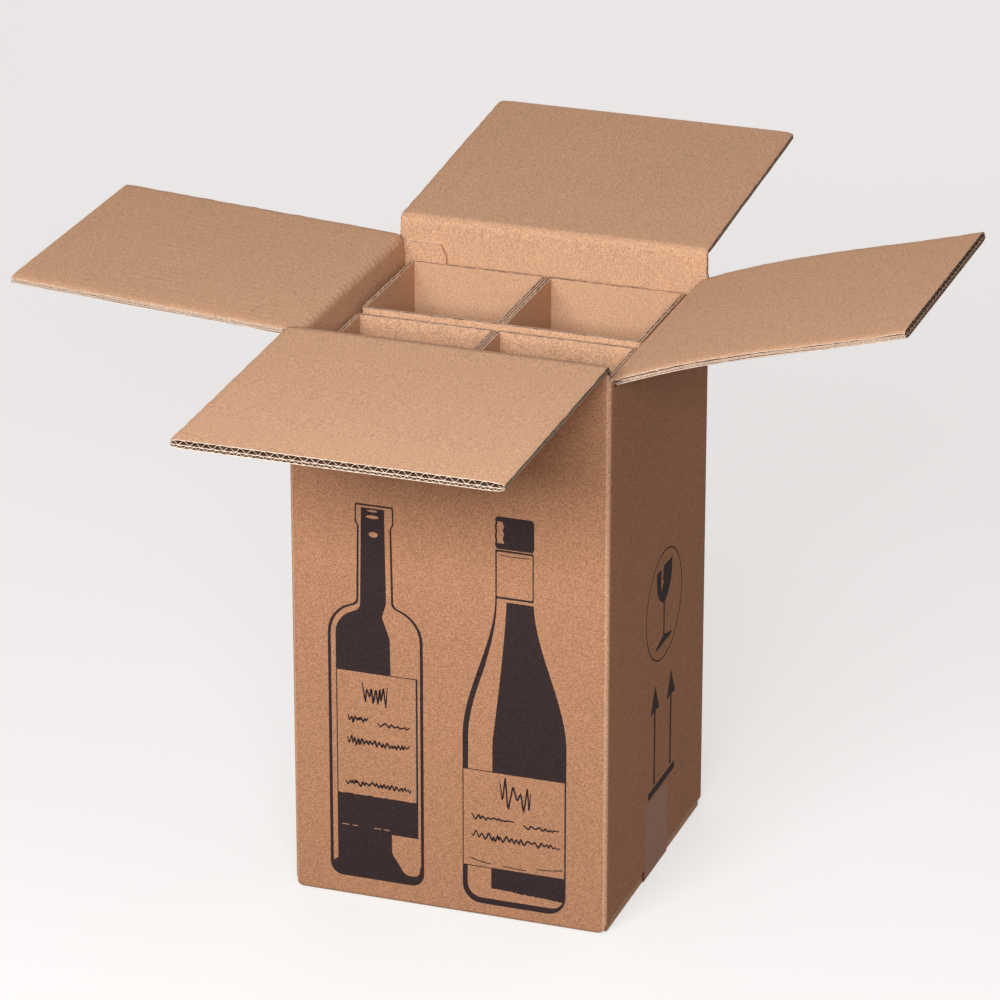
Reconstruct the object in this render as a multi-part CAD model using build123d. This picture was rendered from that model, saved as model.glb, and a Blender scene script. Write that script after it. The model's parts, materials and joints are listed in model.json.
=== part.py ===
"""Shipping carton for four bottles, made the way a board plant makes it.

One folded blank of double-wall corrugated board forms the walls, the glued joint and the closed
bottom. Four full-length lid flaps hinge on its top folds, two folded inserts make the four bottle
cells, and one strip of tape closes the bottom seam.

Millimetres, +Z up. The origin is the centre of the base and the front wall faces -Y. The model
stands with its lid flaps folded open, as it does before it is packed.
"""
import os

from build123d import *

# Carton, outside sizes
box_width = 225.0          # left to right, along X
box_depth = 218.0          # front to back, along Y
slot_height = 400.0        # floor to the foot of the slots between the lid flaps
corner_radius = 5.0        # outside of the scored upright corners
fold_radius = 3.0          # outside of the folds along the bottom edges
edge_relief_width = 7.0    # small cut at each bottom corner, where two flaps part
edge_relief_height = 4.5

# Double-wall board: three liners, a small flute outside and a large flute inside
liner = 0.5
small_flute_height = 1.7
small_flute_pitch = 5.1
large_flute_height = 3.0
large_flute_pitch = 7.6
fluting_paper = 0.3        # thickness of the waved sheets
crest_share = 0.12         # part of a flute's pitch that is glued flat to each liner

# Lid flaps
flap_end_gap = 16.0        # free end of a closed flap to the outside of the far wall
tab_slot_gap = 0.2         # closed left and right flaps to the glue tab
long_flap_inset = 1.5      # front and back flaps end this far inside the corners
corner_headroom = 0.25     # closed front flap above the foot of the slots
stack_gap = 0.15           # air between closed flaps, and between the bottom layers
fold_gap = 0.2             # each side of a fold's V groove, measured from the fold line
open_angle = {"front": -1.0, "back": 5.0, "left": 3.5, "right": 16.6}   # degrees above level

# Bottom
bottom_seam = 1.0          # gap where the two outer bottom flaps meet

# Glued joint: a tab of the left wall, pressed flat inside the back wall
tab_width = 30.0
tab_thickness = 2.6
tab_bevel = 8.0

# Cell inserts: one sheet of single-wall board each, folded around two cells
insert_board = 3.0
insert_inner_radius = 0.3  # inside of its folds
ply_gap = 1.0              # between the two plies of a partition
ply_end_gap = 0.4          # between a ply's free end and the wall it points at
insert_side_play = 13.6    # left and right of an insert together
insert_gap = 2.5           # between the two inserts
back_insert_clearance = 0.4    # to the glue tab
front_insert_clearance = 1.1   # to the front wall
back_insert_headroom = 0.5     # below the closed right flap
front_insert_headroom = 3.5
back_insert_shift = -1.85      # inserts stand a little off centre, to the left or the right
front_insert_shift = -3.2

# Bottom tape, bedded flush in the board
tape_width = 50.0
tape_thickness = 0.1
tape_rise = 55.0           # height of each end on the side walls
tape_bend = 1.5

# What follows from them
board = 3 * liner + small_flute_height + large_flute_height
half_width = box_width / 2
half_depth = box_depth / 2
slot_width = board + tab_thickness + tab_slot_gap  # cut beside the left and right flaps
side_flap_width = box_depth - 2 * slot_width
long_flap_width = box_width - 2 * long_flap_inset
flap_length = min(box_width, box_depth) - flap_end_gap
lowest_fold = slot_height + corner_headroom - board - 2 * stack_gap    # of the flap that closes first
inner_flap_floor = board + stack_gap               # underside of the inner bottom flaps
cell_floor = inner_flap_floor + board              # what the inserts stand on
outer_flap_length = half_depth - bottom_seam / 2   # bottom flaps of the front and back walls
inner_flap_length = min(half_width, half_depth) - bottom_seam / 2

insert_width = box_width - 2 * board - insert_side_play
insert_clearances = back_insert_clearance + insert_gap + front_insert_clearance
insert_depth = (box_depth - 2 * board - tab_thickness - insert_clearances) / 2
insert_room = lowest_fold - board - cell_floor     # from the cells' floor to the closed right flap
insert_bend = insert_board / 2 + insert_inner_radius

# Each side's turn about Z from +X, the distance of its wall from the centre and its flap's width
turn = {"right": 0.0, "back": 90.0, "left": 180.0, "front": 270.0}
reach = {"right": half_width, "back": half_depth, "left": half_width, "front": half_depth}
flap_width = {
    "right": side_flap_width,
    "back": long_flap_width,
    "left": side_flap_width,
    "front": long_flap_width,
}

# The lid closes in this order, and each fold is one layer above the last
closing_order = ["right", "left", "front", "back"]
fold_height = {
    side: lowest_fold + layer * (board + stack_gap)
    for layer, side in enumerate(closing_order)
}


def block(x, y, z):
    """A box given by its low and high values along each axis."""
    size = Box(x[1] - x[0], y[1] - y[0], z[1] - z[0])
    return Pos((x[0] + x[1]) / 2, (y[0] + y[1]) / 2, (z[0] + z[1]) / 2) * size


def prism(outline, width):
    """A face of (outward, up) points, drawn along a wall and centred on it."""
    return extrude(Plane.XZ * outline, width / 2, both=True)


def on_side(side, solid):
    """Move a solid from its own frame, with +X outward, to one side of the carton."""
    return Rot(0, 0, turn[side]) * Pos(reach[side], 0, 0) * solid


def folded_sheet(points, thickness, bend):
    """The section of a sheet that is folded along a line of points."""
    return trace(FilletPolyline(*points, radius=bend), line_width=thickness)


def liner_section(width, foot):
    """The section of one flat liner."""
    return Pos(0, foot + liner / 2) * Rectangle(width, liner)


def flute_section(width, foot, height, pitch):
    """The section of one waved sheet, its crests sunk a little into the liners it is glued to."""
    count = round(width / pitch)
    step = width / count
    crest = crest_share * step / 2
    low = foot - liner / 5
    high = foot + height + liner / 5
    wave = [(-width / 2, low)]
    for index in range(count):
        start = -width / 2 + index * step
        wave += [
            (start + crest, low),
            (start + step / 2 - crest, high),
            (start + step / 2 + crest, high),
            (start + step - crest, low),
        ]
    wave.append((width / 2, low))
    upper = [(x, z + fluting_paper / 2) for x, z in wave]
    lower = [(x, z - fluting_paper / 2) for x, z in reversed(wave)]
    return make_face(Polyline(*upper, *lower, close=True))


def board_section(width):
    """Double-wall board seen on its cut end, outer liner at the bottom."""
    middle = liner + small_flute_height
    section = liner_section(width, 0)
    section += liner_section(width, middle)
    section += liner_section(width, board - liner)
    section += flute_section(width, liner, small_flute_height, small_flute_pitch)
    section += flute_section(width, middle + liner, large_flute_height, large_flute_pitch)
    return section


def lid_flap(side):
    """A fluted flap whose fold line is the outside edge of its wall."""
    width = flap_width[side]
    sheet = extrude(Plane.YZ * board_section(width), flap_length)
    outline = Polyline(
        (fold_gap, 0),
        (flap_length, 0),
        (flap_length, board),
        (fold_gap + board, board),
        close=True,
    )
    flap = sheet & prism(make_face(outline), width)
    return on_side(side, Pos(0, 0, fold_height[side]) * Rot(0, -open_angle[side], 0) * flap)


def panel(side, floor, length):
    """One wall with its bottom flap. Its top is bevelled so that its lid flap can close flat."""
    crown = fold_height[side] - fold_gap
    outline = make_face(Polyline(
        (0, floor),
        (0, crown),
        (-board, crown - board),
        (-board, floor + board),
        (-length, floor + board),
        (-length, floor),
        close=True,
    ))
    fold = outline.vertices().sort_by_distance((0, floor))[0]
    return on_side(side, prism(fillet(fold, fold_radius), flap_width[side]))


def corner_posts():
    """The scored corners between the four panels, up to the foot of the slots."""
    bore = Rectangle(box_width - 2 * board, box_depth - 2 * board)
    ring = extrude(RectangleRounded(box_width, box_depth, corner_radius) - bore, slot_height)
    height = (0, slot_height)
    posts = ring - block((-half_width, half_width), (-half_depth, half_depth), (0, inner_flap_floor))
    long_half = long_flap_width / 2
    side_half = side_flap_width / 2
    for end in (-1, 1):
        long_wall = sorted((end * (half_depth - board), end * half_depth))
        side_wall = sorted((end * (half_width - board), end * half_width))
        posts -= block((-long_half, long_half), long_wall, height)
        posts -= block(side_wall, (-side_half, side_half), height)
    return posts


def edge_relief():
    """The four small cuts where two bottom folds meet at a corner."""
    outline = make_face(Polyline((0, 0), (-edge_relief_width, 0), (0, edge_relief_height), close=True))
    cut = prism(outline, box_depth)
    middle = block((-box_width, box_width), (board - half_depth, half_depth - board), (0, board))
    return (on_side("left", cut) + on_side("right", cut)) - middle


def glue_tab():
    """The end of the left wall, folded behind the back wall and glued to it."""
    left = -half_width + board / 2
    right = -half_width + board + tab_width
    low = cell_floor + stack_gap
    high = slot_height - stack_gap
    outline = Polyline(
        (left, low),
        (right - tab_bevel / 2, low),
        (right, low + tab_bevel),
        (right, high - tab_bevel),
        (right - tab_bevel / 2, high),
        (left, high),
        close=True,
    )
    inner_face = Plane.XZ.offset(board - half_depth)
    return extrude(inner_face * make_face(outline), tab_thickness)


def bottom_tape():
    """A strip across the bottom seam and a little way up both side walls."""
    outer = half_width - tape_thickness / 2
    low = tape_thickness / 2
    path = [(-outer, tape_rise), (-outer, low), (outer, low), (outer, tape_rise)]
    return prism(folded_sheet(path, tape_thickness, tape_bend), tape_width)


def carton():
    """Walls, glued joint and closed bottom, all one folded blank."""
    envelope = extrude(RectangleRounded(box_width, box_depth, corner_radius), fold_height["back"])
    body = corner_posts()
    for side in ("left", "right"):
        body += panel(side, inner_flap_floor, inner_flap_length)
    for side in ("front", "back"):
        body += panel(side, 0, outer_flap_length) & envelope
    body += glue_tab()
    return body - edge_relief() - bottom_tape()


def insert(height, shift, back_face):
    """One sheet folded around two cells: its ends turn in as the two plies of the partition."""
    half = insert_board / 2
    right = insert_width / 2 - half
    back = -half
    front = half - insert_depth
    ply = ply_gap / 2 + half
    ply_end = front + half + ply_end_gap
    path = [
        (-ply, ply_end),
        (-ply, back),
        (-right, back),
        (-right, front),
        (right, front),
        (right, back),
        (ply, back),
        (ply, ply_end),
    ]
    sheet = extrude(folded_sheet(path, insert_board, insert_bend), height)
    return Pos(shift, back_face, cell_floor) * sheet


def nodes():
    """Every piece by its name."""
    back_face = half_depth - board - tab_thickness - back_insert_clearance
    front_face = -half_depth + board + front_insert_clearance + insert_depth
    pieces = {f"flap_{side}": lid_flap(side) for side in closing_order}
    pieces["carton"] = carton()
    pieces["insert_back"] = insert(insert_room - back_insert_headroom, back_insert_shift, back_face)
    pieces["insert_front"] = insert(insert_room - front_insert_headroom, front_insert_shift, front_face)
    pieces["bottom_tape"] = bottom_tape()
    return pieces


os.makedirs("parts", exist_ok=True)
for name, shape in nodes().items():
    export_step(shape, f"parts/{name}.step")
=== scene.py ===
"""Looks of the bottle carton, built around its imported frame.

Metres, in the frame's own axes: +Z up, the front wall faces -Y and +X is to its right.
"""

import json
import math

import bmesh
import bpy
import numpy as np
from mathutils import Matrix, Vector, geometry, noise


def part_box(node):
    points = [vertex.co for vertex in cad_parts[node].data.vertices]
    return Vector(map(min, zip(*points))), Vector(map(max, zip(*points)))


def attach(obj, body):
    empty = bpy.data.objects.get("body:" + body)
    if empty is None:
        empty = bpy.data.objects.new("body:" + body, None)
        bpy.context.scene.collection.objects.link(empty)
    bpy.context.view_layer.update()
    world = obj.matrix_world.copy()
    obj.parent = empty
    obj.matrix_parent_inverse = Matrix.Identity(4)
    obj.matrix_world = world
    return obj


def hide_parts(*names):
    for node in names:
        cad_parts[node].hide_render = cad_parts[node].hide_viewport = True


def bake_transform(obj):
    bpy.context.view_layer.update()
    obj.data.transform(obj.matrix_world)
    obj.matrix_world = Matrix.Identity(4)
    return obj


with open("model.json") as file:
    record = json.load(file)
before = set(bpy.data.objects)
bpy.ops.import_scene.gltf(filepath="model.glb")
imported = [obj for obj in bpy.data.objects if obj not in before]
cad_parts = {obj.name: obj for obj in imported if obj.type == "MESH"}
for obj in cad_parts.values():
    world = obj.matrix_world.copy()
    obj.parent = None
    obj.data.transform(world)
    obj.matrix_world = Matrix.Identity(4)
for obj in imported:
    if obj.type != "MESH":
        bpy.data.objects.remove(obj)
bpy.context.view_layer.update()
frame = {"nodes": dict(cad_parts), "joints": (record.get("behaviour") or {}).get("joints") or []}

MM = 0.001
UP = np.array([0.0, 0.0, 1.0])

# ---------------------------------------------------------------- board, as the carton's
LINER = 0.5 * MM
SMALL_FLUTE = 1.7 * MM
SMALL_PITCH = 5.1 * MM
LARGE_FLUTE = 3.0 * MM
LARGE_PITCH = 7.6 * MM
FLUTING_PAPER = 0.3 * MM
BOARD = 3 * LINER + SMALL_FLUTE + LARGE_FLUTE
FOLD_GAP = 0.2 * MM            # each side of a fold's V groove
SLOT_HEADROOM = 0.05 * MM      # foot of the slots above the flap that closes first
LOWEST_FOLD = min(joint["pos_m"][2] for joint in frame["joints"])
SLOT_FOOT = LOWEST_FOLD + BOARD + SLOT_HEADROOM

# Inserts: single-wall board
INSERT_BOARD = 3.0 * MM
INSERT_LINER = 0.45 * MM
INSERT_BURR = 0.95 * MM        # how far the cut edge of each liner is crushed inwards
INSERT_PITCH = 6.4 * MM
INSERT_BEND = 1.8 * MM         # radius of the sheet's centre line at its folds
PLY_GAP = 1.0 * MM             # between the two plies of a partition
PLY_END_GAP = 0.4 * MM         # between a ply's free end and the sheet it points at

# ---------------------------------------------------------------- camera
CAMERA_YAW = math.radians(19.38)       # to the right of the front wall
CAMERA_PITCH = math.radians(22.73)     # down from level
CAMERA_DISTANCE = 3.6
CAMERA_TARGET = Vector((-0.0015, 0.0, 0.2597))
CAMERA_LENS = 190.6
CAMERA_SENSOR = 36.0
CAMERA_REACH = 50.0            # how far it sees

# Studio light. The warm surround lights the sides that are turned away from the key.
MIDDLE = Vector((0.0, 0.0, 0.26))
WHITE = (1.0, 1.0, 1.0)
SURROUND = (1.0, 0.74, 0.63)
WORLD_STRENGTH = 0.22
KEY_DIRECTION = (0.05, -0.86, 0.45)    # from the middle
KEY_DISTANCE = 1.6
KEY_SIZE = (1.3, 0.4)                  # wide and low, so it catches cut edges and grazes the sides
KEY_WATTS = 29.0
KEY_COLOUR = (1.0, 0.99, 0.97)
TOP_PLACE = (0.8, 0.1, 2.4)
TOP_SIZE = (1.4, 1.4)
TOP_WATTS = 2.6
TOP_COLOUR = (1.0, 0.98, 0.96)
BACKDROP_PLACE = (-0.4, 2.1, 1.7)
BACKDROP_TARGET = (-0.4, 1.5, 0.0)
BACKDROP_SIZE = (4.0, 2.2)
BACKDROP_WATTS = 19.0
FLOOR_HALF = 6.0                       # from its centre to each side
FLOOR_GLOW = 0.55
FLOOR_DARK = (0.43, 0.443, 0.452, 1.0)
FLOOR_LIGHT = (0.45, 0.463, 0.472, 1.0)
FLOOR_PATCHES = 3.0                    # times per metre
FLOOR_ROUGHNESS = 0.8


def make_camera():
    """A long lens, above and to the right of the front wall."""
    data = bpy.data.cameras.new("camera")
    data.lens = CAMERA_LENS
    data.sensor_width = CAMERA_SENSOR
    camera = bpy.data.objects.new("camera", data)
    forward = Vector((
        -math.sin(CAMERA_YAW) * math.cos(CAMERA_PITCH),
        math.cos(CAMERA_YAW) * math.cos(CAMERA_PITCH),
        -math.sin(CAMERA_PITCH),
    ))
    camera.location = CAMERA_TARGET - forward * CAMERA_DISTANCE
    camera.rotation_mode = "QUATERNION"
    camera.rotation_quaternion = forward.to_track_quat("-Z", "Y")
    data.clip_end = CAMERA_REACH
    bpy.context.scene.collection.objects.link(camera)
    bpy.context.scene.camera = camera


def area_light(name, place, target, size, watts, colour):
    """A soft rectangular lamp that points at target."""
    data = bpy.data.lights.new(name, "AREA")
    data.shape = "RECTANGLE"
    data.size, data.size_y = size
    data.energy = watts
    data.color = colour
    lamp = bpy.data.objects.new(name, data)
    lamp.location = place
    lamp.rotation_mode = "QUATERNION"
    lamp.rotation_quaternion = (Vector(target) - Vector(place)).to_track_quat("-Z", "Y")
    bpy.context.scene.collection.objects.link(lamp)


def make_studio():
    """A wide key from the front and above, a weak top light and a light for the floor behind."""
    scene = bpy.context.scene
    scene.view_settings.view_transform = "Standard"
    world = bpy.data.worlds.new("studio")
    world.use_nodes = True
    surround = world.node_tree.nodes["Background"]
    surround.inputs["Color"].default_value = (*SURROUND, 1.0)
    surround.inputs["Strength"].default_value = WORLD_STRENGTH
    scene.world = world
    key_place = MIDDLE + Vector(KEY_DIRECTION).normalized() * KEY_DISTANCE
    area_light("key", key_place, MIDDLE, KEY_SIZE, KEY_WATTS, KEY_COLOUR)
    area_light("top", TOP_PLACE, MIDDLE, TOP_SIZE, TOP_WATTS, TOP_COLOUR)
    area_light("backdrop", BACKDROP_PLACE, BACKDROP_TARGET, BACKDROP_SIZE, BACKDROP_WATTS, WHITE)


# ---------------------------------------------------------------- materials
INNER_LINER = (0.630, 0.385, 0.242)
OUTER_LINER = (0.460, 0.238, 0.133)
# The fluting's colour, far darker than its paper: painted shade for the inside of the board, seen
# where the flutes are open
FLUTING_WITH_PAINTED_SHADE = (0.14, 0.072, 0.043)
CRUSHED = (0.56, 0.40, 0.29)
CUT_PAPER = (0.82, 0.65, 0.53)
INSERT_CUT = (0.60, 0.42, 0.31)
INK = (0.040, 0.026, 0.028)
TAPE = (0.36, 0.165, 0.092)

# Darkest and lightest grain, as shares of a paper's colour, and the same where it is cut across
DARK_GRAIN = 0.72
LIGHT_GRAIN = 1.26
DARK_TEAR = 0.45
LIGHT_TEAR = 1.15

PAPER_ROUGHNESS = 0.88
PAPER_BUMP = 0.3
PAPER_SPECULAR = 0.18
RELIEF = 0.0004                # metres

# The noises in a paper, in times per metre, and how strongly each one changes its colour
GRAIN = {"scale": 1250.0, "detail": 1.0, "roughness": 0.8}
FIBRES = {"scale": 520.0, "detail": 1.0, "roughness": 0.5}
PATCHES = {"scale": 14.0, "detail": 1.0, "roughness": 0.4}
STREAKS = {"scale": 1.0, "detail": 2.0, "roughness": 0.5}
GRAIN_SHARE = 3.4
FIBRES_SHARE = 0.5
PATCHES_SHARE = 0.1
STREAKS_SHARE = 0.13
STREAKS_RELIEF = 0.6
GRAIN_RELIEF = 0.5
MEAN = 0.5                     # of every noise

# How often streaks change along each axis, per metre
ACROSS_X = (170.0, 7.0, 7.0)
ACROSS_Y = (7.0, 170.0, 7.0)
NO_STREAKS = (20.0, 20.0, 20.0)
CRUMPLED = (150.0, 150.0, 150.0)
UPRIGHT_INSERT = (90.0, 90.0, 6.0)
UPRIGHT_CARTON = (60.0, 60.0, 6.0)
TAPE_STREAKS = (40.0, 4.0, 12.0)

EVEN = (1.0, 1.0, 1.0)
UPRIGHT_FIBRES = (1.0, 1.0, 0.7)
LEVEL_FIBRES = (0.6, 0.6, 1.35)        # grain drawn out along the level

LEVEL_NORMAL = 0.9             # upward part of a normal, above which a face counts as level
CUT_DEPTH = 2 * MM             # how far below the slots' foot the carton's cut tops may lie

# A Mix node's colour sockets share their names with others, so they go by number
MIX_FACTOR, MIX_DARK, MIX_LIGHT, MIX_RESULT = 0, 6, 7, 2


def feed(tree, socket, value):
    """Link another node's output to a socket, or set the socket to a plain value."""
    if isinstance(value, bpy.types.NodeSocket):
        tree.links.new(value, socket)
    else:
        socket.default_value = value


def node(tree, kind, inputs=None, **settings):
    """One shader node with its settings, and its inputs as values or as sockets to link."""
    made = tree.nodes.new(kind)
    for key, value in settings.items():
        setattr(made, key, value)
    for key, value in (inputs or {}).items():
        feed(tree, made.inputs[key], value)
    return made


def math_node(tree, operation, *values):
    made = node(tree, "ShaderNodeMath", dict(enumerate(values)), operation=operation)
    return made.outputs[0]


def noise_node(tree, vector, scale, detail=2.0, roughness=0.5):
    inputs = {"Vector": vector, "Scale": scale, "Detail": detail, "Roughness": roughness}
    return node(tree, "ShaderNodeTexNoise", inputs).outputs["Fac"]


def stretched(tree, vector, scale):
    """The position with each axis scaled by itself."""
    made = node(tree, "ShaderNodeVectorMath", {0: vector, 1: scale}, operation="MULTIPLY")
    return made.outputs[0]


def mix_colour(tree, factor, dark, light):
    inputs = {MIX_FACTOR: factor, MIX_DARK: dark, MIX_LIGHT: light}
    return node(tree, "ShaderNodeMix", inputs, data_type="RGBA").outputs[MIX_RESULT]


def shade(colour, factor):
    return tuple(min(1.0, channel * factor) for channel in colour) + (1.0,)


def grained(tree, factor, colour, dark=DARK_GRAIN, light=LIGHT_GRAIN):
    """A paper's colour, from its dark to its light grain."""
    return mix_colour(tree, factor, shade(colour, dark), shade(colour, light))


def new_material(name):
    material = bpy.data.materials.new(name)
    material.use_nodes = True
    tree = material.node_tree
    shader = tree.nodes["Principled BSDF"]
    position = node(tree, "ShaderNodeTexCoord").outputs["Object"]
    return material, tree, shader, position


def paper_pattern(tree, position, streak_scale, contrast, grain_stretch=EVEN):
    """Fine specks, cloudy patches and streaks along the flutes, as one factor around a half."""
    grain = noise_node(tree, stretched(tree, position, grain_stretch), **GRAIN)
    fibres = noise_node(tree, stretched(tree, position, UPRIGHT_FIBRES), **FIBRES)
    patches = noise_node(tree, position, **PATCHES)
    streaks = noise_node(tree, stretched(tree, position, streak_scale), **STREAKS)
    patterns = (
        (grain, GRAIN_SHARE),
        (fibres, FIBRES_SHARE),
        (patches, PATCHES_SHARE),
        (streaks, STREAKS_SHARE),
    )
    factor = MEAN
    for pattern, share in patterns:
        part = math_node(tree, "SUBTRACT", pattern, MEAN)
        factor = math_node(tree, "MULTIPLY_ADD", part, share * contrast, factor)
    fine = math_node(tree, "MULTIPLY", grain, GRAIN_RELIEF)
    height = math_node(tree, "MULTIPLY_ADD", streaks, STREAKS_RELIEF, fine)
    return factor, height


def finish_paper(
    tree, shader, colour, height,
    roughness=PAPER_ROUGHNESS, bump=PAPER_BUMP, specular=PAPER_SPECULAR,
):
    tree.links.new(colour, shader.inputs["Base Color"])
    shader.inputs["Roughness"].default_value = roughness
    shader.inputs["Specular IOR Level"].default_value = specular
    inputs = {"Height": height, "Strength": bump, "Distance": RELIEF}
    relief = node(tree, "ShaderNodeBump", inputs)
    tree.links.new(relief.outputs["Normal"], shader.inputs["Normal"])


def kraft(name, colour, streak_scale, contrast=1.0, **finish):
    """Brown paper with its grain, and streaks that change streak_scale times per metre."""
    material, tree, shader, position = new_material(name)
    factor, height = paper_pattern(tree, position, streak_scale, contrast)
    finish_paper(tree, shader, grained(tree, factor, colour), height, **finish)
    return material


def carton_kraft():
    """The blank's paper: redder outside than inside, and pale where the slots cut across it."""
    material, tree, shader, position = new_material("carton_kraft")
    split = node(tree, "ShaderNodeSeparateXYZ", {"Vector": position})
    across = [math_node(tree, "ABSOLUTE", split.outputs[axis]) for axis in (0, 1)]
    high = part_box("carton")[1]
    near_x = math_node(tree, "GREATER_THAN", across[0], high.x - LINER)
    near_y = math_node(tree, "GREATER_THAN", across[1], high.y - LINER)
    outside = math_node(tree, "MAXIMUM", near_x, near_y)
    facing = node(tree, "ShaderNodeTexCoord").outputs["Normal"]
    upward = node(tree, "ShaderNodeSeparateXYZ", {"Vector": facing}).outputs[2]
    level = math_node(tree, "GREATER_THAN", upward, LEVEL_NORMAL)
    raised = math_node(tree, "GREATER_THAN", split.outputs[2], SLOT_FOOT - CUT_DEPTH)
    cut = math_node(tree, "MULTIPLY", level, raised)
    factor, height = paper_pattern(tree, position, UPRIGHT_CARTON, 1.0, LEVEL_FIBRES)
    inner = grained(tree, factor, INNER_LINER)
    outer = grained(tree, factor, OUTER_LINER)
    torn = grained(tree, factor, CUT_PAPER, DARK_TEAR, LIGHT_TEAR)
    paper = mix_colour(tree, outside, inner, outer)
    finish_paper(tree, shader, mix_colour(tree, cut, paper, torn), height)
    return material


def make_materials():
    """Every material by the short name that the pieces' slots use."""
    ink_finish = {"roughness": 0.7, "bump": 0.15, "specular": 0.06}
    tape_finish = {"roughness": 0.42, "bump": 0.15, "specular": 0.06}
    return {
        "inner_x": kraft("liner_inner_x", INNER_LINER, ACROSS_X),
        "inner_y": kraft("liner_inner_y", INNER_LINER, ACROSS_Y),
        "outer_x": kraft("liner_outer_x", OUTER_LINER, ACROSS_X),
        "outer_y": kraft("liner_outer_y", OUTER_LINER, ACROSS_Y),
        # The fluting, the middle liner and the liners' hidden faces: paper colour darkened as
        # painted shade inside the board
        "fluting": kraft("fluting_paper", FLUTING_WITH_PAINTED_SHADE, NO_STREAKS, contrast=0.8),
        "cut": kraft("cut_paper", CUT_PAPER, NO_STREAKS, contrast=1.3, bump=0.6),
        "crushed": kraft("crushed_edge", CRUSHED, CRUMPLED, contrast=1.8, bump=0.8),
        "insert_cut": kraft("insert_cut_paper", INSERT_CUT, NO_STREAKS, contrast=1.4, bump=0.6),
        "insert": kraft("insert_liner", INNER_LINER, UPRIGHT_INSERT),
        "ink": kraft("print_ink", INK, NO_STREAKS, contrast=0.9, **ink_finish),
        "tape": kraft("tape_film", TAPE, TAPE_STREAKS, contrast=0.6, **tape_finish),
        "carton": carton_kraft(),
    }


# ---------------------------------------------------------------- meshes
class Builder:
    """Collects closed sheets and solids, each face with a material, into one mesh."""

    def __init__(self, *slots):
        self.slots = list(slots)
        self.points = []
        self.faces = []
        self.face_slots = []
        self.count = 0

    def add(self, points, faces, slot):
        """Faces of any shape, given by the numbers of their points."""
        points = np.asarray(points, float).reshape(-1, 3)
        self.points.append(points)
        self.faces += [[self.count + index for index in face] for face in faces]
        self.face_slots += [self.slots.index(slot)] * len(faces)
        self.count += len(points)

    def sheet(self, top, bottom, top_slot, bottom_slot, rim_slot):
        """A closed sheet between two grids of (rows, columns, 3) points."""
        rows, columns = top.shape[:2]
        self.points += [top.reshape(-1, 3), bottom.reshape(-1, 3)]
        grid = np.arange(rows * columns).reshape(rows, columns) + self.count
        under = grid + rows * columns
        for layer, slot in ((grid, top_slot), (under, bottom_slot)):
            quads = np.stack([layer[:-1, :-1], layer[1:, :-1], layer[1:, 1:], layer[:-1, 1:]], -1)
            self.faces += quads.reshape(-1, 4).tolist()
            self.face_slots += [self.slots.index(slot)] * quads[..., 0].size
        first_row = np.arange(columns)
        last_column = np.arange(1, rows) * columns + columns - 1
        last_row = rows * columns - 2 - np.arange(columns - 1)
        first_column = np.arange(rows - 2, 0, -1) * columns
        loop = np.concatenate([first_row, last_column, last_row, first_column]) + self.count
        following = np.roll(loop, -1)
        rim = np.stack([loop, following, following + rows * columns, loop + rows * columns], -1)
        self.faces += rim.tolist()
        self.face_slots += [self.slots.index(rim_slot)] * len(rim)
        self.count += 2 * rows * columns

    def build(self, name, materials, sharp=40.0):
        """The finished piece, smooth except at edges sharper than sharp degrees."""
        mesh = bpy.data.meshes.new(name)
        mesh.from_pydata(np.concatenate(self.points).tolist(), [], self.faces)
        mesh.polygons.foreach_set("material_index", self.face_slots)
        work = bmesh.new()
        work.from_mesh(mesh)
        bmesh.ops.recalc_face_normals(work, faces=work.faces)
        work.to_mesh(mesh)
        work.free()
        for slot in self.slots:
            mesh.materials.append(materials[slot])
        mesh.polygons.foreach_set("use_smooth", [True] * len(mesh.polygons))
        mesh.set_sharp_from_angle(angle=math.radians(sharp))
        piece = bpy.data.objects.new(name, mesh)
        bpy.context.scene.collection.objects.link(piece)
        return piece


SEED_STEP = 7.31               # between the slices of noise that two seeds use


def rough(x, y, seed):
    """Smooth noise from -1 to 1 at each point."""
    x, y = np.broadcast_arrays(np.asarray(x, float), np.asarray(y, float))
    level = seed * SEED_STEP
    values = [noise.noise(Vector((a, b, level))) for a, b in zip(x.ravel(), y.ravel())]
    return np.array(values).reshape(x.shape)


class Fold:
    """The fold of one lid flap: where it is, which way is outward and how far it is open."""

    def __init__(self, joint):
        self.flap = joint["child"]
        self.side = self.flap.removeprefix("flap_")
        self.point = np.array(joint["pos_m"], float)
        level = self.point * (1.0, 1.0, 0.0)
        self.out = level / np.linalg.norm(level)
        self.along = np.cross(UP, self.out)
        self.open = math.radians(180.0 - joint["range_deg"][1])
        low, high = (np.array(corner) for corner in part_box(self.flap))
        self.width = abs(float((high - low) @ self.along))
        far = max(float((corner - self.point) @ self.out) for corner in (low, high))
        drop = BOARD * math.sin(max(-self.open, 0.0))
        self.length = (far - drop) / math.cos(self.open)
        self.axis_letter = "x" if abs(self.along[0]) > 0.5 else "y"

    def place(self, u, v, w, turn):
        """Points u out from the fold, v along it and w up from the outer face, turned about it."""
        u, v, w, turn = np.broadcast_arrays(u, v, w, turn)
        out = u * np.cos(turn) - w * np.sin(turn)
        rise = u * np.sin(turn) + w * np.cos(turn)
        out, v, rise = out[..., None], v[..., None], rise[..., None]
        return self.point + out * self.out + v * self.along + rise * UP


folds = {fold.side: fold for fold in map(Fold, frame["joints"])}

# ---------------------------------------------------------------- lid flaps
EDGE_TEAR = 0.25 * MM          # how far the cut edges of the papers wander
TEAR_LENGTH = 2.5 * MM         # along the free edge
SIDE_TEAR_LENGTH = 6 * MM      # along the sides
SIDE_PINCH = 2.1 * MM          # the die squeezes the board at the flaps' sides
PINCH_REACH = 2.5 * MM         # how far in from the side it does
PINCH_LENGTH = 9 * MM
BOW = {"right": math.radians(7.0)}     # extra rise at the root of a flap that is bowed

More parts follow.
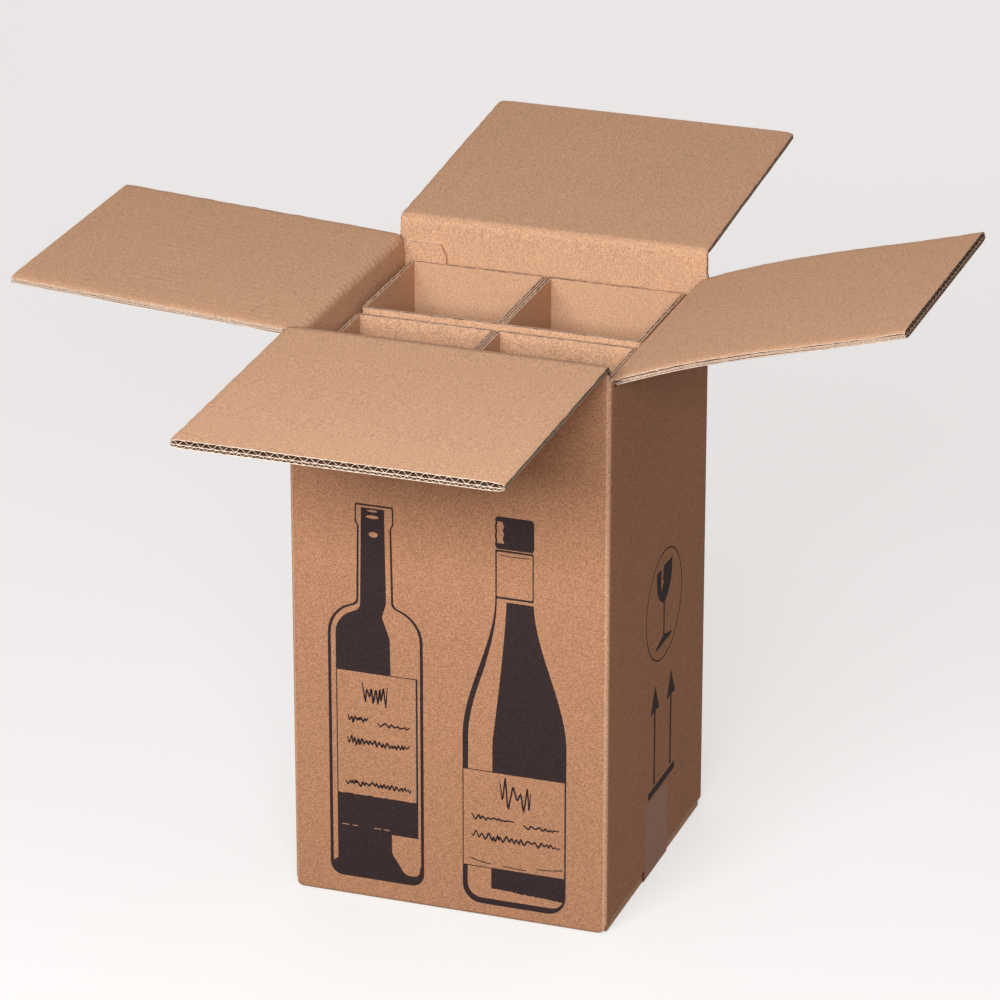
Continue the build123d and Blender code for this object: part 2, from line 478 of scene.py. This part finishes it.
FLUTE_SAMPLES = 10             # points in one wave
FLUTE_DRIFT = 0.10             # of a pitch, that the waves wander sideways
FLUTE_LEAN = 0.06              # how unevenly they rise
FLUTE_START = 0.25             # of a pitch, where the first one stands

LINER_SAG = 0.035 * MM         # of the inner liner between the large flutes
SAG_LENGTH = 45 * MM           # along the flap, and across it, over which the sag changes
SAG_WIDTH = 30 * MM
MIDDLE_WOBBLE = 0.12 * MM      # of the middle liner, and over which width
WOBBLE_WIDTH = 6 * MM
COLUMNS_PER_FLUTE = 8
INNER_ROWS, MIDDLE_ROWS, OUTER_ROWS, FLUTE_ROWS = 36, 10, 14, 5
FLAP_SEED_STEP = 11.0          # more than the seeds that one flap uses

EDGE_ROWS, EDGE_COLUMNS = 90, 7        # of the crushed paper along each side
EDGE_INSET = 0.75 * MM
EDGE_CRUMPLE = 0.4 * MM


def flute_profile(width, low, high, pitch, seed):
    """Centre line of a waved paper: its place across the board and its height."""
    count = round(width / pitch)
    v = np.linspace(-width / 2, width / 2, count * FLUTE_SAMPLES + 1)
    drift = FLUTE_DRIFT * rough(v / (5 * pitch), 0.0, seed)
    phase = (v / width + 0.5) * count + drift + FLUTE_START
    swing = 0.5 - 0.5 * np.cos(2 * math.pi * phase)
    lean = FLUTE_LEAN * rough(v / pitch, 3.0, seed)
    return v, low + (high - low) * np.clip(swing + lean * swing * (1 - swing) * 4, 0, 1)


def pinched(w, v, half, across):
    """Heights in the board, drawn together near the sides where the die crushed it."""
    near_side = np.exp(-(half - np.abs(v)) / PINCH_REACH)
    squeeze = SIDE_PINCH * (0.65 + 0.35 * rough(across / PINCH_LENGTH, np.sign(v) * 3, 4.0))
    return w + near_side * squeeze * (1 - 2 * w / BOARD)


def flap(side, materials):
    """One lid flap of double-wall board, its flutes open at the free edge."""
    fold = folds[side]
    seed = FLAP_SEED_STEP * sorted(folds).index(side)
    inner, outer = "inner_" + fold.axis_letter, "outer_" + fold.axis_letter
    builder = Builder(inner, outer, "fluting", "cut", "crushed")
    half = fold.width / 2
    bow = BOW.get(side, 0.0)

    def turn_at(u):
        """How far the flap has risen at u from its fold: more at the root of a bowed one."""
        return fold.open + bow * (1 - u / fold.length) ** 2

    def lay(v, w_top, w_bottom, rows, slots, tear, sheet_seed):
        """One sheet from the mitred root to the torn free edge; v and w are along its columns."""
        share = np.linspace(0.0, 1.0, rows)[:, None]
        v = np.broadcast_to(v, (rows, len(v))).copy()
        across = share * fold.length
        ragged = EDGE_TEAR * (0.6 + rough(across[:, 0] / SIDE_TEAR_LENGTH, sheet_seed, 1.0))
        v[:, 0] += np.maximum(ragged, 0)
        v[:, -1] -= np.maximum(np.roll(ragged, 3), 0)
        end = fold.length - tear * (0.5 + 0.5 * rough(v[-1] / TEAR_LENGTH, sheet_seed, 2.0))
        grids = []
        for w in (w_top, w_bottom):
            w = pinched(np.broadcast_to(w, v.shape), v, half, across)
            root = FOLD_GAP + np.maximum(w, 0)
            u = root + (end[None, :] - root) * share
            grids.append(fold.place(u, v, w, turn_at(u)))
        builder.sheet(grids[0], grids[1], *slots)

    columns = np.linspace(-half, half, COLUMNS_PER_FLUTE * round(fold.width / LARGE_PITCH) + 1)
    sag = LINER_SAG * (1 - np.cos(2 * math.pi * columns / LARGE_PITCH))
    along = np.linspace(0, 1, INNER_ROWS)[:, None] * fold.length
    fade = 0.65 + 0.9 * rough(along / SAG_LENGTH, columns / SAG_WIDTH, seed)
    inner_top = BOARD - sag * np.clip(fade, 0, 1.6)
    inner_slots, outer_slots = (inner, "fluting", "cut"), ("fluting", outer, "cut")
    # The middle liner, the waved papers and the hidden faces take the fluting's colour, which is
    # painted shade inside the board
    hidden_slots = ("fluting", "fluting", "cut")
    lay(columns, inner_top, BOARD - LINER, INNER_ROWS, inner_slots, EDGE_TEAR, seed + 1)
    middle = LINER + SMALL_FLUTE
    coarse = columns[::2]
    wobble = MIDDLE_WOBBLE * rough(coarse / WOBBLE_WIDTH, 0.0, seed + 9)
    upper, lower = middle + LINER + wobble, middle + wobble
    lay(coarse, upper, lower, MIDDLE_ROWS, hidden_slots, 1.6 * EDGE_TEAR, seed + 2)
    lay(coarse, LINER, 0.0, OUTER_ROWS, outer_slots, EDGE_TEAR, seed + 3)
    waves = (
        (LINER, middle, SMALL_PITCH, seed + 4),
        (middle + LINER, BOARD - LINER, LARGE_PITCH, seed + 5),
    )
    for low, high, pitch, wave_seed in waves:
        paper = FLUTING_PAPER / 2
        v, w = flute_profile(fold.width, low + paper / 2, high - paper / 2, pitch, wave_seed)
        slope = np.gradient(w, v)
        thick = paper * np.sqrt(1 + np.minimum(slope ** 2, 4))
        lay(v, w + thick, w - thick, FLUTE_ROWS, hidden_slots, 2 * EDGE_TEAR, wave_seed)
    run = fold.length - 2 * FOLD_GAP - BOARD
    across = np.linspace(0.0, 1.0, EDGE_ROWS)[:, None] * run + BOARD
    w = np.linspace(0.6 * LINER, BOARD - 0.6 * LINER, EDGE_COLUMNS)[None, :]
    for end in (-1.0, 1.0):
        crumple = rough(across / (3 * MM), w / (1.1 * MM), seed + 7 + end)
        outside = end * (half - EDGE_INSET - EDGE_CRUMPLE * crumple)
        grids = []
        for v in (outside, outside - end * FLUTING_PAPER):
            squeezed = pinched(w, v, half, across)
            grids.append(fold.place(across, v, squeezed, turn_at(across)))
        builder.sheet(grids[0], grids[1], "crushed", "crushed", "crushed")
    piece = builder.build("board_" + fold.flap, materials)
    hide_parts(fold.flap)
    if bow:
        # A bowed flap is baked where it stands and not attached to its flap, so it does not move
        # with the fold; tip is not used
        tip = fold.place(fold.length, 0.0, 0.0, fold.open)
        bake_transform(piece)
    else:
        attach(piece, fold.flap)


# ---------------------------------------------------------------- folds between walls and flaps
CREASE_COLUMNS = 10            # in one large flute
FILLING_INSET = 1.2 * MM       # the crushed flutes end this far inside the liners
DENT_RIPPLE = 0.22 * MM        # of the inner liner over each flute
DENT_SLOW = 0.35 * MM          # and over its length
DENT_LENGTH = 22 * MM
CREASE_SHARP = 70.0            # degrees


def flap_side(radius, root_turn, places):
    """The part of a path that lies on the flap, at radius from the fold line."""
    c, s = math.cos(root_turn), math.sin(root_turn)
    return [(u * c - radius * s, u * s + radius * c) for u in places]


def rounded_path(radius, root_turn):
    """A sheet's way over the fold, at radius from the fold line: up the wall, round and out."""
    wall = [(-radius, w) for w in np.linspace(-radius, -0.15 * radius, 4)]
    turns = np.linspace(math.pi, math.pi / 2 + root_turn, 11)
    arc = [(radius * math.cos(t), radius * math.sin(t)) for t in turns]
    flat = flap_side(radius, root_turn, np.linspace(0.3 * radius, radius + FOLD_GAP, 3))
    return np.array(wall + arc + flat)


def chamfer_path(radius, root_turn):
    """The same where the flap closes through half a turn or more, with no points between."""
    wall = [(-radius, -radius), (-radius, -0.1 * radius)]
    return np.array(wall + flap_side(radius, root_turn, (0.12 * radius, radius + FOLD_GAP)))


def crease(side, materials):
    """The creased board between a wall and its flap."""
    fold = folds[side]
    inner = "inner_" + fold.axis_letter
    builder = Builder(inner, "fluting", "cut")
    half = fold.width / 2
    root_turn = fold.open + BOW.get(side, 0.0)
    past_half_turn = fold.open <= 0
    path = chamfer_path if past_half_turn else rounded_path
    v = np.linspace(-half, half, CREASE_COLUMNS * round(fold.width / LARGE_PITCH) + 1)
    # Radius and thickness of each sheet: the inner liner, the large flute crushed under it, the
    # middle liner and the small flute
    # All but the inner liner's top take the fluting's colour, which is painted shade inside the
    # crease
    sheets = (
        (BOARD, LINER, inner, "fluting", 0.0),
        (BOARD - 1.3 * LINER, 0.35 * BOARD, "fluting", "fluting", FILLING_INSET),
        (LINER + SMALL_FLUTE + LINER, LINER, "fluting", "fluting", 0.0),
        (LINER + 0.6 * SMALL_FLUTE, 0.6 * SMALL_FLUTE, "fluting", "fluting", FILLING_INSET),
    )
    for radius, thickness, top_slot, bottom_slot, inset in sheets:
        grids = []
        for r in (radius, radius - thickness):
            line = path(r, root_turn)
            across = v * (1 - inset / half)
            dent = np.zeros((len(line), len(v)))
            if r == BOARD:
                bulge = np.sin(np.linspace(0, math.pi, len(line)))[:, None] ** 2
                ripple = 0.5 + 0.5 * np.cos(2 * math.pi * v / LARGE_PITCH)
                slow = rough(v / DENT_LENGTH, 0.0, 5.0 + fold.open)
                dent = bulge * (DENT_RIPPLE * ripple + DENT_SLOW * np.abs(slow))
            scale = pinched(r, across, half, 0.0) / r - dent / r
            out = line[:, 0][:, None] * scale
            rise = line[:, 1][:, None] * scale
            grids.append(fold.place(out, across[None, :], rise, 0.0))
        rim_slot = "cut" if inset == 0 else "fluting"
        builder.sheet(grids[0], grids[1], top_slot, bottom_slot, rim_slot)
    piece = builder.build("fold_" + side, materials, sharp=CREASE_SHARP)
    middle = fold.place(0.0, 0.0, 0.0, 0.0)
    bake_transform(piece)


# ---------------------------------------------------------------- inserts
BEND_POINTS = 5                # in each rounded corner of an insert's sheet
WAVE_POINTS = 10               # in one flute of it
LINER_ROWS, WAVE_ROWS = 10, 2
HALF_WAVE_PAPER = 0.13 * MM
WAVE_PLAY = 0.1 * MM           # between the waved paper's middle and each liner
WAVE_RECESS = 0.35 * MM        # it is torn a little lower than the liners
LONG_TEAR, LONG_TEAR_LENGTH = 0.5 * MM, 9 * MM
SHORT_TEAR, SHORT_TEAR_LENGTH = 0.25 * MM, 2 * MM
BURR_LENGTH = 5 * MM


def straight(start, end, step):
    """Even steps from start up to end, which is left out."""
    count = max(2, int(np.linalg.norm(end - start) / step))
    return list(np.linspace(start, end, count))[:-1]


def bend_line(points, radius, step):
    """A line through points in even steps, its corners rounded: places and left-hand normals."""
    points = [np.array(p, float) for p in points]
    dense = []
    last = points[0]
    for before, corner, after in zip(points, points[1:], points[2:]):
        a = (before - corner) / np.linalg.norm(before - corner)
        b = (after - corner) / np.linalg.norm(after - corner)
        centre = corner + (a + b) * radius
        dense += straight(last, corner + a * radius, step)
        for t in np.linspace(0, math.pi / 2, BEND_POINTS + 1)[:-1]:
            dense.append(centre - b * radius * math.cos(t) - a * radius * math.sin(t))
        last = corner + b * radius
    line = np.array(dense + straight(last, points[-1], step) + [points[-1]])
    tangent = np.gradient(line, axis=0)
    tangent /= np.linalg.norm(tangent, axis=1)[:, None]
    return line, np.stack([-tangent[:, 1], tangent[:, 0]], -1)


def insert(name, materials, seed):
    """One sheet of single-wall board folded around two cells, its flutes open at the top."""
    low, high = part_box(name)
    middle = (low.x + high.x) / 2
    half = INSERT_BOARD / 2
    left, right = low.x + half, high.x - half
    front, back = low.y + half, high.y - half
    ply = PLY_GAP / 2 + half
    ply_end = front + half + PLY_END_GAP
    corners = [
        (middle - ply, ply_end), (middle - ply, back), (left, back), (left, front),
        (right, front), (right, back), (middle + ply, back), (middle + ply, ply_end),
    ]
    line, normal = bend_line(corners, INSERT_BEND, INSERT_PITCH / WAVE_POINTS)
    steps = np.linalg.norm(np.diff(line, axis=0), axis=1)
    distance = np.concatenate([[0], np.cumsum(steps)])
    builder = Builder("insert", "fluting", "insert_cut")
    swing = (half - INSERT_LINER - WAVE_PLAY) * np.sin(2 * math.pi * distance / INSERT_PITCH)
    wave_top, wave_bottom = swing + HALF_WAVE_PAPER, swing - HALF_WAVE_PAPER
    cut = "insert_cut"
    # The waved paper and the liners' inner faces take the fluting's colour, which is painted shade
    # inside the board
    sheets = (
        (half, half - INSERT_LINER, ("insert", "fluting", cut), 0.0, LINER_ROWS),
        (-half + INSERT_LINER, -half, ("fluting", "insert", cut), 0.0, LINER_ROWS),
        (wave_top, wave_bottom, ("fluting", "fluting", cut), WAVE_RECESS, WAVE_ROWS),
    )
    for index, (upper, lower, slots, recess, rows) in enumerate(sheets):
        torn = LONG_TEAR * np.abs(rough(distance / LONG_TEAR_LENGTH, index, seed)) + recess
        torn = torn + SHORT_TEAR * np.abs(rough(distance / SHORT_TEAR_LENGTH, index, seed + 3))
        height = low.z + (high.z - torn - low.z)[None, :] * np.linspace(0, 1, rows)[:, None]
        crushed = INSERT_BURR * (0.8 + 0.5 * rough(distance / BURR_LENGTH, index, seed + 6))
        grids = []
        for offset in (upper, lower):
            offset = np.broadcast_to(offset, height.shape).copy()
            if np.ndim(upper) == 0 and abs(offset[0, 0]) < half:    # a liner's hidden face
                offset[-1] -= np.sign(offset[-1]) * crushed
            grid = np.empty((rows, len(line), 3))
            grid[..., :2] = line + normal * offset[..., None]
            grid[..., 2] = height
            grids.append(grid)
        builder.sheet(grids[0], grids[1], *slots)
    piece = builder.build("board_" + name, materials)
    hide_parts(name)
    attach(piece, "carton")


# ---------------------------------------------------------------- print, in millimetres on its wall
INK_RISE = 0.06 * MM           # proud of its wall
INK_SINK = 0.03 * MM           # into its wall
INK_LAYER = 0.02 * MM          # between patches that cover each other
FRONT_STRETCH = 1.035          # of the bottles' heights, about their feet
DRAWN_FOOT = 15.7              # height of their feet as drawn
FRONT_FOOT = 14.5              # and on the wall
RAGGED_POINTS = 40             # in the edge of a patch that dried unevenly
SCRIBBLE_WIDTH = 1.25


def on_front(across, up, height):
    """Points on the front wall: to the right, up and proud of it."""
    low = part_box("carton")[0]
    up = FRONT_FOOT + (up - DRAWN_FOOT) * FRONT_STRETCH
    return np.stack([across * MM, np.full_like(across, low.y) - height, up * MM], -1)


def on_right(across, up, height):
    """The same on the right wall, seen from outside."""
    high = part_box("carton")[1]
    return np.stack([np.full_like(across, high.x) + height, across * MM, up * MM], -1)


def rounded_loop(corners, steps=7):
    """A closed outline through corners (across, up, radius), each one rounded."""
    loop = []
    for index, (x, z, radius) in enumerate(corners):
        corner = np.array([x, z], float)
        if radius == 0:
            loop.append(corner)
            continue
        before = np.array(corners[index - 1][:2]) - corner
        after = np.array(corners[(index + 1) % len(corners)][:2]) - corner
        before, after = before / np.linalg.norm(before), after / np.linalg.norm(after)
        half = math.acos(max(-1.0, min(1.0, float(before @ after)))) / 2
        middle = (before + after) / np.linalg.norm(before + after)
        centre = corner + middle * radius / math.sin(half)
        start = corner + before * radius / math.tan(half) - centre
        end = corner + after * radius / math.tan(half) - centre
        first = math.atan2(start[1], start[0])
        sweep = (math.atan2(end[1], end[0]) - first + math.pi) % (2 * math.pi) - math.pi
        for turn in first + sweep * np.linspace(0, 1, steps):
            loop.append(centre + radius * np.array([math.cos(turn), math.sin(turn)]))
    return np.array(loop)


def ellipse(x, z, half_across, half_up, count=20):
    """A closed outline about (x, z)."""
    turns = np.linspace(0, 2 * math.pi, count, endpoint=False)
    return np.stack([x + half_across * np.cos(turns), z + half_up * np.sin(turns)], -1)


def box_loop(x0, x1, z0, z1):
    """A closed rectangle."""
    return np.array([(x0, z0), (x1, z0), (x1, z1), (x0, z1)], float)


def ragged(points, seed, depth):
    """The same points, moved up and down a little, as ink that dried unevenly."""
    lift = depth * rough(points[:, 0] / 1.3, points[:, 1] / 1.3, seed)
    return points + np.stack([np.zeros(len(points)), lift], -1)


def stamp(builder, wall, outline, holes=(), layer=0):
    """A thin closed patch of ink with holes. One that covers another lies on a higher layer."""
    loops = [np.asarray(loop, float) for loop in (outline, *holes)]
    flat = np.concatenate(loops)
    corners = [[Vector((x, z, 0.0)) for x, z in loop] for loop in loops]
    triangles = geometry.tessellate_polygon(corners)
    count = len(flat)
    top = wall(flat[:, 0], flat[:, 1], INK_RISE + layer * INK_LAYER)
    bottom = wall(flat[:, 0], flat[:, 1], -INK_SINK)
    faces = [tuple(triangle) for triangle in triangles]
    faces += [tuple(index + count for index in reversed(triangle)) for triangle in triangles]
    first = 0
    for loop in loops:
        for index in range(len(loop)):
            a, b = first + index, first + (index + 1) % len(loop)
            faces.append((a, b, b + count, a + count))
        first += len(loop)
    builder.add(np.concatenate([top, bottom]), faces, "ink")


def brush(builder, wall, points, width):
    """A stroke of ink along points, its ends a little thinner."""
    points = np.asarray(points, float)
    tangent = np.gradient(points, axis=0)
    tangent /= np.linalg.norm(tangent, axis=1)[:, None]
    side = np.stack([-tangent[:, 1], tangent[:, 0]], -1)
    share = np.linspace(-1, 1, len(points))[:, None]
    half = 0.5 * width * (1 - 0.45 * share ** 6)
    edges = np.stack([points - side * half, points + side * half])
    grids = [wall(edges[..., 0], edges[..., 1], height) for height in (INK_RISE, -INK_SINK)]
    builder.sheet(grids[0], grids[1], "ink", "ink", "ink")


def scribble(builder, wall, x0, x1, z, tall, strokes, seed, fade=0.6):
    """A row of zigzag strokes that stands for writing and says nothing."""
    draw = np.random.default_rng(seed)
    steps = draw.uniform(0.35, 1.65, 2 * strokes + 1)
    share = (np.cumsum(steps) - steps[0]) / (np.sum(steps) - steps[0])
    sway = np.where(np.arange(len(share)) % 2, -0.5, 0.5) * draw.uniform(0.4, 1.1, len(share))
    up = z + tall * (sway * (1 - fade * share) + draw.uniform(-0.12, 0.12, len(share)))
    fine = np.linspace(0, 1, 8 * strokes + 1)
    path = np.stack([x0 + (x1 - x0) * fine, np.interp(fine, share, up)], -1)
    brush(builder, wall, path, SCRIBBLE_WIDTH)


def both_sides(centre, profile):
    """A closed outline from the right-hand half (half width, up, radius) of an upright shape."""
    right = [(centre + half, z, radius) for half, z, radius in profile]
    left = [(centre - half, z, radius) for half, z, radius in reversed(profile)]
    return rounded_loop(right + left)


def straight_bottle(builder, wall):
    """A bottle with square shoulders and a label."""
    centre = -51.8
    outer = [
        (13.6, 284.0, 1.5), (13.8, 271.5, 1.0), (12.2, 268.5, 1.0), (13.2, 214.0, 5.0),
        (34.0, 207.0, 23.0), (34.0, 15.7, 9.0),
    ]
    inner = [
        (12.6, 282.8, 1.0), (12.8, 272.3, 1.0), (10.9, 268.0, 1.0), (11.7, 213.2, 5.0),
        (31.8, 205.8, 21.5), (31.8, 18.6, 7.5),
    ]
    stamp(builder, wall, both_sides(centre, outer), [both_sides(centre, inner)])
    fill = rounded_loop([
        (-61.0, 281.4, 0.5), (-44.6, 281.4, 0.5), (-43.8, 216.0, 3.0), (-46.8, 206.0, 4.0),
        (-41.4, 191.0, 12.0), (-41.0, 165.4, 0.0), (-80.2, 165.4, 0.0), (-80.2, 201.5, 17.0),
        (-62.4, 210.0, 6.0),
    ])
    glints = [
        ellipse(-53.0, 275.4, 4.6, 1.2),
        ellipse(-52.4, 263.2, 3.2, 1.9),
        ellipse(-53.0, 279.6, 3.8, 0.8),
    ]
    stamp(builder, wall, fill, glints)
    label, inside = box_loop(-80.2, -21.8, 75.2, 165.4), box_loop(-79.5, -23.1, 75.9, 164.8)
    stamp(builder, wall, label, [inside])
    edge = np.linspace(-80.2, -21.8, RAGGED_POINTS)
    upper = ragged(np.stack([edge[::-1], np.full(RAGGED_POINTS, 76.4)], -1), 3.0, 0.8)
    band = np.concatenate([np.array([(-80.2, 50.4), (-21.8, 50.4)]), upper])
    places = ((-77, 5.0), (-69.5, 4.0), (-54, 5.0), (-47, 4.5))
    dashes = [box_loop(x, x + long, 53.0, 53.7) for x, long in places]
    stamp(builder, wall, band, dashes, layer=1)
    foot = rounded_loop([
        (-80.2, 50.4, 0.0), (-80.2, 28.0, 2.0), (-84.9, 25.0, 1.5), (-85.4, 16.4, 8.5),
        (-18.4, 16.4, 8.5), (-18.6, 30.0, 0.0), (-20.4, 30.0, 0.0), (-21.6, 23.0, 3.0),
        (-31.0, 22.0, 6.0), (-41.0, 37.0, 9.0), (-41.0, 50.4, 0.0),
    ])
    stamp(builder, wall, foot, layer=2)
    scribble(builder, wall, -61.5, -43.5, 149.5, 17.0, 6, 1, fade=0.1)
    scribble(builder, wall, -72.0, -57.5, 131.0, 6.0, 6, 2)
    scribble(builder, wall, -50.5, -27.5, 129.0, 4.0, 5, 3)
    scribble(builder, wall, -72.5, -27.5, 115.0, 7.5, 16, 4)
    scribble(builder, wall, -74.5, -27.0, 84.5, 4.5, 17, 5, fade=0.2)


NECK_FOOT = 232.0              # of the sloping bottle, where its shoulders begin
SHOULDER_DROP = 102.0
NECK_HALF = 13.4
SHOULDER_GROWTH = 23.4


def slope_width(z):
    """Half the width of the sloping bottle at each height."""
    share = np.clip((NECK_FOOT - z) / SHOULDER_DROP, 0, 1)
    return NECK_HALF + SHOULDER_GROWTH * share ** 2 * (3 - 2 * share)


def between(left, right, z):
    """A closed outline between two edges, each given by where it is at the heights z."""
    return np.concatenate([np.stack([left, z], -1), np.stack([right, z], -1)[::-1]])


def sloping_bottle(builder, wall):
    """A bottle with sloping shoulders, a screw cap and a low label."""
    centre = 47.0
    z = np.linspace(NECK_FOOT, 107.6, 28)
    outer = centre - slope_width(z)
    thick = 1.1 + 2.9 * np.clip((225.0 - z) / 45.0, 0, 1)
    stamp(builder, wall, between(outer, outer + thick, z))
    near = 41.4 - 10.0 * np.clip((229.0 - z) / 100.0, 0, 1) ** 1.3
    far = centre + slope_width(z)
    stamp(builder, wall, between(near, far, np.clip(z, None, 229.0)))
    stamp(builder, wall, box_loop(10.1, 83.7, 37.4, 107.6), [box_loop(10.8, 82.6, 38.0, 107.0)])
    collar = rounded_loop([
        (33.6, 231.0, 1.0), (60.4, 231.0, 1.0), (60.4, 265.0, 1.5), (33.6, 265.0, 1.5),
    ])
    open_collar = rounded_loop([
        (34.6, 232.4, 1.0), (59.6, 232.4, 1.0), (59.6, 263.6, 1.0), (34.6, 263.6, 1.0),
    ])
    stamp(builder, wall, collar, [open_collar])
    ring = [(x, 261.0 + 0.004 * (x - centre) ** 2) for x in np.linspace(35.5, 58.8, 10)]
    brush(builder, wall, ring, 0.6)
    bumps = np.linspace(268.0, 286.0, 24)
    left = np.stack([33.8 - 0.5 * np.abs(np.sin((bumps - 265.0) * 0.5)), bumps], -1)
    smooth = np.array([
        (35.0, 288.0), (59.0, 288.0), (60.6, 286.6), (60.8, 268.0), (59.6, 265.6), (35.0, 265.6),
    ])
    cap = np.concatenate([left, smooth])
    lit = bumps[2:-2]
    gleam_left = 35.0 - 0.4 * np.abs(np.sin((lit - 265.0) * 0.5))
    gleam_right = 39.2 + 0.5 * np.sin(lit * 1.1)
    stamp(builder, wall, cap, [between(gleam_left, gleam_right, lit)])
    foot = rounded_loop([
        (10.1, 37.4, 0.0), (10.1, 11.0, 13.0), (83.7, 11.0, 13.0), (83.7, 37.4, 0.0),
        (82.4, 37.4, 0.0), (82.4, 15.2, 9.0), (13.6, 15.2, 10.0), (13.6, 37.4, 0.0),
    ])
    stamp(builder, wall, foot, layer=1)
    edge = np.linspace(30.6, 82.6, RAGGED_POINTS)
    fall = np.linspace(23.2, 20.6, RAGGED_POINTS)
    lower = ragged(np.stack([edge, fall], -1), 5.0, 0.9)
    stamp(builder, wall, np.concatenate([lower, np.array([(82.6, 37.4), (30.6, 37.4)])]))
    scribble(builder, wall, 36.8, 58.5, 91.5, 23.0, 5, 6, fade=0.1)
    scribble(builder, wall, 16.5, 47.0, 73.5, 4.5, 8, 7, fade=0.9)
    scribble(builder, wall, 53.5, 78.5, 71.5, 3.5, 6, 8)
    scribble(builder, wall, 16.5, 79.5, 60.0, 7.5, 17, 9)
    share = np.linspace(0, 1, 10)
    hang = 0.5 * np.sin(share * math.pi)
    lines = ((14.8, 30.8, 43.6, 40.6), (38.4, 55.8, 40.8, 40.0), (63.0, 82.0, 41.8, 44.0))
    for x0, x1, z0, z1 in lines:
        line = np.stack([x0 + (x1 - x0) * share, z0 + (z1 - z0) * share - hang], -1)
        brush(builder, wall, line, 0.7)


def front_print(materials):
    """Two generic bottles in dark ink on the front wall."""
    builder = Builder("ink")
    straight_bottle(builder, on_front)
    sloping_bottle(builder, on_front)
    finish_print(builder, "print_bottles", materials)


def right_print(materials):
    """A broken glass in a ring and two arrows that point up, on the right wall."""
    builder = Builder("ink")
    wall = on_right
    x, z = 12.5, 194.0             # centre of the ring
    stamp(builder, wall, ellipse(x, z, 39.8, 39.8, 72), [ellipse(x, z, 38.7, 38.7, 72)])
    bowl = rounded_loop([
        (x - 17.0, z + 28.5, 0.0), (x - 16.4, z + 10.0, 20.0), (x - 1.5, z + 1.2, 6.0),
        (x + 1.5, z + 1.2, 6.0), (x + 16.4, z + 10.0, 20.0), (x + 17.0, z + 28.5, 0.0),
        (x - 1.5, z + 29.0, 0.0), (x - 3.5, z + 20.0, 0.0), (x - 1.5, z + 17.0, 0.0),
        (x - 6.5, z + 11.5, 0.0), (x - 8.0, z + 19.0, 0.0), (x - 6.5, z + 28.0, 0.0),
    ])
    stamp(builder, wall, bowl)
    stamp(builder, wall, box_loop(x - 1.2, x + 1.2, z - 23.4, z + 1.4))
    stamp(builder, wall, rounded_loop([
        (x - 17.5, z - 28.6, 0.6), (x + 17.5, z - 28.6, 0.6), (x + 17.0, z - 26.8, 1.0),
        (x, z - 22.6, 2.0), (x - 17.0, z - 26.8, 1.0),
    ]))
    for tip_x, tip_z in ((-5.6, 140.6), (30.2, 137.6)):
        stamp(builder, wall, np.array([
            (tip_x, tip_z), (tip_x - 9.5, tip_z - 20.0), (tip_x - 1.6, tip_z - 18.8),
            (tip_x - 1.6, 66.0), (tip_x + 1.6, 66.0), (tip_x + 1.6, tip_z - 18.8),
            (tip_x + 9.5, tip_z - 20.0),
        ]))
    stamp(builder, wall, box_loop(-18.6, 40.0, 58.6, 64.0))
    finish_print(builder, "print_handling", materials)


def finish_print(builder, name, materials):
    piece = builder.build(name, materials)
    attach(piece, "carton")


# ---------------------------------------------------------------- floor
def make_floor():
    """A pale plane that glows a little and catches the shadow."""
    mesh = bpy.data.meshes.new("floor")
    near, far = -FLOOR_HALF, FLOOR_HALF
    corners = [(near, near, 0), (far, near, 0), (far, far, 0), (near, far, 0)]
    mesh.from_pydata(corners, [], [(0, 1, 2, 3)])
    floor = bpy.data.objects.new("floor", mesh)
    bpy.context.scene.collection.objects.link(floor)
    material, tree, shader, position = new_material("floor_paint")
    patches = noise_node(tree, position, FLOOR_PATCHES)
    colour = mix_colour(tree, patches, FLOOR_DARK, FLOOR_LIGHT)
    tree.links.new(colour, shader.inputs["Base Color"])
    shader.inputs["Roughness"].default_value = FLOOR_ROUGHNESS
    shader.inputs["Emission Color"].default_value = (*WHITE, 1.0)
    shader.inputs["Emission Strength"].default_value = FLOOR_GLOW
    mesh.materials.append(material)
    # Its white light would bleach the object's shaded sides, which take the warm surround's light
    floor.visible_diffuse = False


make_camera()
make_studio()
materials = make_materials()
make_floor()
for side in sorted(folds):
    flap(side, materials)
    crease(side, materials)
insert("insert_back", materials, 21.0)
insert("insert_front", materials, 22.0)
front_print(materials)
right_print(materials)
for name, key in (("carton", "carton"), ("bottom_tape", "tape")):
    for material_slot in frame["nodes"][name].material_slots:
        material_slot.link = "OBJECT"
        material_slot.material = materials[key]
